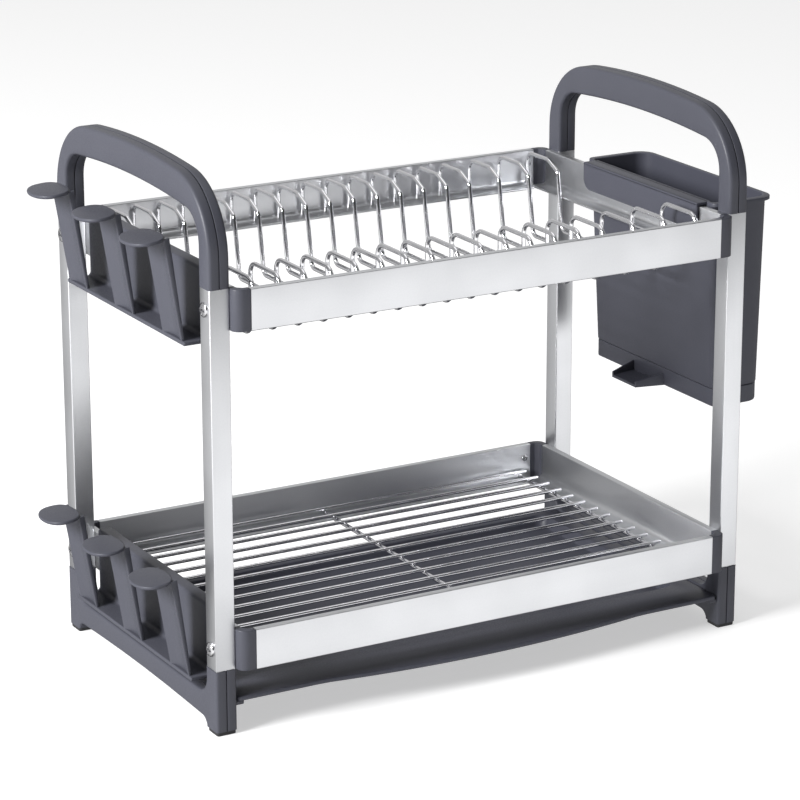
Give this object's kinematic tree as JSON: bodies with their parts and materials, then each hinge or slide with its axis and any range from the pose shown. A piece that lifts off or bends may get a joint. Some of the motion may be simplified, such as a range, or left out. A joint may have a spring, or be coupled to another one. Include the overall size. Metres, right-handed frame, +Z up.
{
  "type": "dish drying rack",
  "caption": "Two-tier dish rack: square posts, arched end handles, wire plate rack, wire grid shelf, slide-out drip tray, hook-on cup holders and utensil caddy.",
  "frame": {"origin": "middle of the whole rack's footprint, on the surface that the feet stand on", "axes": "+X to the right, along the long side, with the utensil caddy at +X; +Y to the rear; +Z up"},
  "size_m": [0.52, 0.265, 0.3975],
  "materials": {
    "aluminium": "fine bead-blasted and brushed, satin",
    "grey_plastic": "moulded, fine satin texture",
    "chrome_wire": "bright plated",
    "screw_steel": "bright stainless",
    "rubber": "matt"
  },
  "bodies": {
    "frame": {"post_front_left": "aluminium", "post_rear_left": "aluminium", "post_front_right": "aluminium", "post_rear_right": "aluminium", "handle_left_outer": "grey_plastic", "handle_left_inner": "grey_plastic", "handle_right_outer": "grey_plastic", "handle_right_inner": "grey_plastic", "base_left_outer": "grey_plastic", "base_left_inner": "grey_plastic", "base_right_outer": "grey_plastic", "base_right_inner": "grey_plastic", "foot_front_left": "rubber", "foot_rear_left": "rubber", "foot_front_right": "rubber", "foot_rear_right": "rubber", "upper_front_rail": "aluminium", "upper_rear_rail": "aluminium", "upper_left_rail": "aluminium", "upper_right_rail": "aluminium", "lower_front_rail": "aluminium", "lower_rear_rail": "aluminium", "lower_left_rail": "aluminium", "lower_right_rail": "aluminium", "upper_corner_front_left": "grey_plastic", "upper_corner_rear_left": "grey_plastic", "upper_corner_front_right": "grey_plastic", "upper_corner_rear_right": "grey_plastic", "lower_corner_front_left": "grey_plastic", "lower_corner_rear_left": "grey_plastic", "lower_corner_front_right": "grey_plastic", "lower_corner_rear_right": "grey_plastic", "upper_post_screws": "screw_steel", "lower_post_screws": "screw_steel", "corner_screws": "screw_steel"},
    "plate_rack": {"plate_wires": "chrome_wire", "plate_tie_rods": "chrome_wire"},
    "lower_grid": {"grid_wires": "chrome_wire", "grid_bars": "chrome_wire"},
    "drip_tray": {"drip_tray": "grey_plastic"},
    "upper_holder": {"upper_cup_holder": "grey_plastic"},
    "lower_holder": {"lower_cup_holder": "grey_plastic"},
    "caddy": {"utensil_caddy": "grey_plastic"},
    "caddy_base": {"caddy_drain_base": "grey_plastic"}
  },
  "joints": [
    {"name": "drip_tray_slide", "type": "slide", "parent": "frame", "child": "drip_tray", "axis": [0, -1, 0], "range_m": [0, 0.24]},
    {"name": "plate_rack_lift", "type": "slide", "parent": "frame", "child": "plate_rack", "axis": [0, 0, 1], "range_m": [0, 0.1]},
    {"name": "lower_grid_lift", "type": "slide", "parent": "frame", "child": "lower_grid", "axis": [0, 0, 1], "range_m": [0, 0.1]},
    {"name": "upper_holder_lift", "type": "slide", "parent": "frame", "child": "upper_holder", "axis": [0, 0, 1], "range_m": [0, 0.03]},
    {"name": "lower_holder_lift", "type": "slide", "parent": "frame", "child": "lower_holder", "axis": [0, 0, 1], "range_m": [0, 0.03]},
    {"name": "caddy_lift", "type": "slide", "parent": "frame", "child": "caddy", "axis": [0, 0, 1], "range_m": [0, 0.028]},
    {"name": "caddy_base_pull", "type": "slide", "parent": "caddy", "child": "caddy_base", "axis": [0, 0, -1], "range_m": [0, 0.03]}
  ]
}
